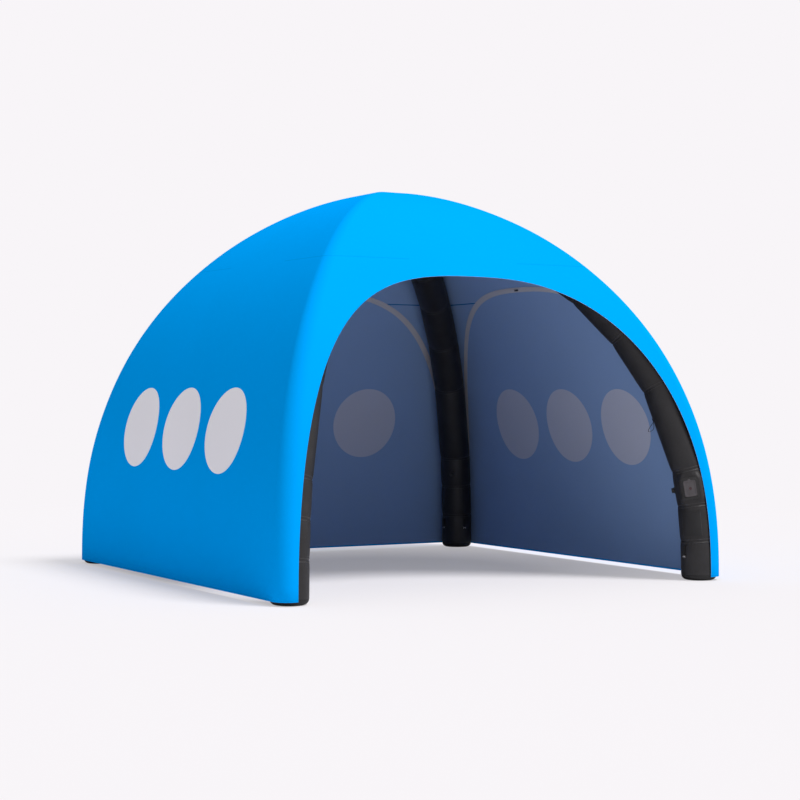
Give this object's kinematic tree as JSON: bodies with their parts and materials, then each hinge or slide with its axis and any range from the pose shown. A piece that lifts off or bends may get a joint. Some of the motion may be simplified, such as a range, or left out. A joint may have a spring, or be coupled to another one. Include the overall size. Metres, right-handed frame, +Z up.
{
  "type": "inflatable tent",
  "caption": "Self-standing inflatable dome tent with air-filled legs crossing at the crown, an open doorway and zipped-in side walls.",
  "frame": {"origin": "the middle of the footprint, on the ground under the feet", "axes": "+Z up, -Y out through the open side, +X to the leg that holds the pump"},
  "size_m": [4, 4, 3.193],
  "materials": {
    "roof_cloth": "matt coated polyester, sky blue",
    "wall_cloth": "matt coated polyester, sky blue",
    "zip_tape": "woven tape, grey",
    "slider_steel": "satin",
    "sleeve_cloth": "coated polyester, black, slight sheen",
    "bladder_film": "welded film, satin",
    "foot_rubber": "matt",
    "webbing": "woven, black",
    "ring_steel": "bright",
    "valve_plastic": "moulded, black",
    "panel_plastic": "moulded, warm grey",
    "button_plastic": "moulded, dark grey"
  },
  "bodies": {
    "tent": {"arch_zip_back": "zip_tape", "arch_zip_front": "zip_tape", "arch_zip_left": "zip_tape", "arch_zip_right": "zip_tape", "crown_bladder": "bladder_film", "crown_sleeve": "sleeve_cloth", "foot_back_left": "foot_rubber", "foot_back_right": "foot_rubber", "foot_front_left": "foot_rubber", "foot_front_right": "foot_rubber", "leg_bladder_back_left": "bladder_film", "leg_bladder_back_right": "bladder_film", "leg_bladder_front_left": "bladder_film", "leg_bladder_front_right": "bladder_film", "leg_pocket": "webbing", "leg_sleeve_back_left": "sleeve_cloth", "leg_sleeve_back_right": "sleeve_cloth", "leg_sleeve_front_left": "sleeve_cloth", "leg_sleeve_front_right": "sleeve_cloth", "pump_housing": "valve_plastic", "pump_motor": "valve_plastic", "ring_tab_back_left_a": "webbing", "ring_tab_back_left_b": "webbing", "ring_tab_back_right_a": "webbing", "ring_tab_back_right_b": "webbing", "ring_tab_front_left_a": "webbing", "ring_tab_front_left_b": "webbing", "ring_tab_front_right_a": "webbing", "ring_tab_front_right_b": "webbing", "roof_back": "roof_cloth", "roof_front": "roof_cloth", "roof_left": "roof_cloth", "roof_right": "roof_cloth", "valve_body_back_left": "valve_plastic", "valve_body_back_right": "valve_plastic", "valve_body_front_left": "valve_plastic", "valve_body_front_right": "valve_plastic", "wall_back": "wall_cloth", "wall_left": "wall_cloth", "wall_right": "wall_cloth", "webbing_loop": "webbing"},
    "ground_ring_back_left_a": {"ground_ring_back_left_a": "ring_steel"},
    "ground_ring_back_left_b": {"ground_ring_back_left_b": "ring_steel"},
    "ground_ring_back_right_a": {"ground_ring_back_right_a": "ring_steel"},
    "ground_ring_back_right_b": {"ground_ring_back_right_b": "ring_steel"},
    "ground_ring_front_left_a": {"ground_ring_front_left_a": "ring_steel"},
    "ground_ring_front_left_b": {"ground_ring_front_left_b": "ring_steel"},
    "ground_ring_front_right_a": {"ground_ring_front_right_a": "ring_steel"},
    "ground_ring_front_right_b": {"ground_ring_front_right_b": "ring_steel"},
    "power_button": {"power_button": "button_plastic"},
    "pump_door": {"pump_door": "panel_plastic"},
    "valve_cap_back_left": {"valve_cap_back_left": "valve_plastic"},
    "valve_cap_back_right": {"valve_cap_back_right": "valve_plastic"},
    "valve_cap_front_left": {"valve_cap_front_left": "valve_plastic"},
    "valve_cap_front_right": {"valve_cap_front_right": "valve_plastic"},
    "zip_slider_back": {"zip_slider_back": "slider_steel"},
    "zip_slider_left": {"zip_slider_left": "slider_steel"},
    "zip_slider_right": {"zip_slider_right": "slider_steel"}
  },
  "joints": [
    {"name": "swing_ground_ring_back_left_a", "type": "hinge", "parent": "tent", "child": "ground_ring_back_left_a", "pos_m": [-1.70118, 1.84883, 0.20173], "axis": [-0.0001, -0.9998, -0.019], "range_deg": [0, 170]},
    {"name": "swing_ground_ring_back_left_b", "type": "hinge", "parent": "tent", "child": "ground_ring_back_left_b", "pos_m": [-1.84883, 1.70118, 0.20173], "axis": [-0.9998, -0.0001, 0.019], "range_deg": [0, 170]},
    {"name": "swing_ground_ring_back_right_a", "type": "hinge", "parent": "tent", "child": "ground_ring_back_right_a", "pos_m": [1.84883, 1.70118, 0.20173], "axis": [-0.9998, 0.0001, -0.019], "range_deg": [0, 170]},
    {"name": "swing_ground_ring_back_right_b", "type": "hinge", "parent": "tent", "child": "ground_ring_back_right_b", "pos_m": [1.70118, 1.84883, 0.20173], "axis": [-0.0001, 0.9998, 0.019], "range_deg": [0, 170]},
    {"name": "swing_ground_ring_front_left_a", "type": "hinge", "parent": "tent", "child": "ground_ring_front_left_a", "pos_m": [-1.84883, -1.70118, 0.20173], "axis": [0.9998, -0.0001, -0.019], "range_deg": [0, 170]},
    {"name": "swing_ground_ring_front_left_b", "type": "hinge", "parent": "tent", "child": "ground_ring_front_left_b", "pos_m": [-1.70118, -1.84883, 0.20173], "axis": [0.0001, -0.9998, 0.019], "range_deg": [0, 170]},
    {"name": "swing_ground_ring_front_right_a", "type": "hinge", "parent": "tent", "child": "ground_ring_front_right_a", "pos_m": [1.70118, -1.84883, 0.20173], "axis": [0.0001, 0.9998, -0.019], "range_deg": [0, 170]},
    {"name": "swing_ground_ring_front_right_b", "type": "hinge", "parent": "tent", "child": "ground_ring_front_right_b", "pos_m": [1.84883, -1.70118, 0.20173], "axis": [0.9998, 0.0001, 0.019], "range_deg": [0, 170]},
    {"name": "press_power_button", "type": "slide", "parent": "pump_door", "child": "power_button", "axis": [0.7071, 0.7071, 0], "range_m": [0, 0.002], "stiffness_N_per_m": 1500},
    {"name": "open_pump_door", "type": "hinge", "parent": "tent", "child": "pump_door", "pos_m": [1.72077, -1.92017, 0.67962], "axis": [0.6973, -0.6973, 0.166], "range_deg": [0, 90]},
    {"name": "turn_valve_cap_back_left", "type": "hinge", "parent": "tent", "child": "valve_cap_back_left", "pos_m": [-1.7138, 1.7138, 0.71776], "axis": [0.6973, -0.6973, -0.1658], "range_deg": [0, 90]},
    {"name": "turn_valve_cap_back_right", "type": "hinge", "parent": "tent", "child": "valve_cap_back_right", "pos_m": [1.7138, 1.7138, 0.71776], "axis": [-0.6973, -0.6973, -0.1658], "range_deg": [0, 90]},
    {"name": "turn_valve_cap_front_left", "type": "hinge", "parent": "tent", "child": "valve_cap_front_left", "pos_m": [-1.7138, -1.7138, 0.71776], "axis": [0.6973, 0.6973, -0.1658], "range_deg": [0, 90]},
    {"name": "turn_valve_cap_front_right", "type": "hinge", "parent": "tent", "child": "valve_cap_front_right", "pos_m": [1.7138, -1.7138, 0.71776], "axis": [-0.6973, 0.6973, -0.1658], "range_deg": [0, 90]},
    {"name": "slide_zip_slider_back", "type": "slide", "parent": "tent", "child": "zip_slider_back", "axis": [-1, 0, 0], "range_m": [-0.15, 0.15]},
    {"name": "slide_zip_slider_left", "type": "slide", "parent": "tent", "child": "zip_slider_left", "axis": [0, -1, 0], "range_m": [-0.15, 0.15]},
    {"name": "slide_zip_slider_right", "type": "slide", "parent": "tent", "child": "zip_slider_right", "axis": [0, 1, 0], "range_m": [-0.15, 0.15]}
  ]
}
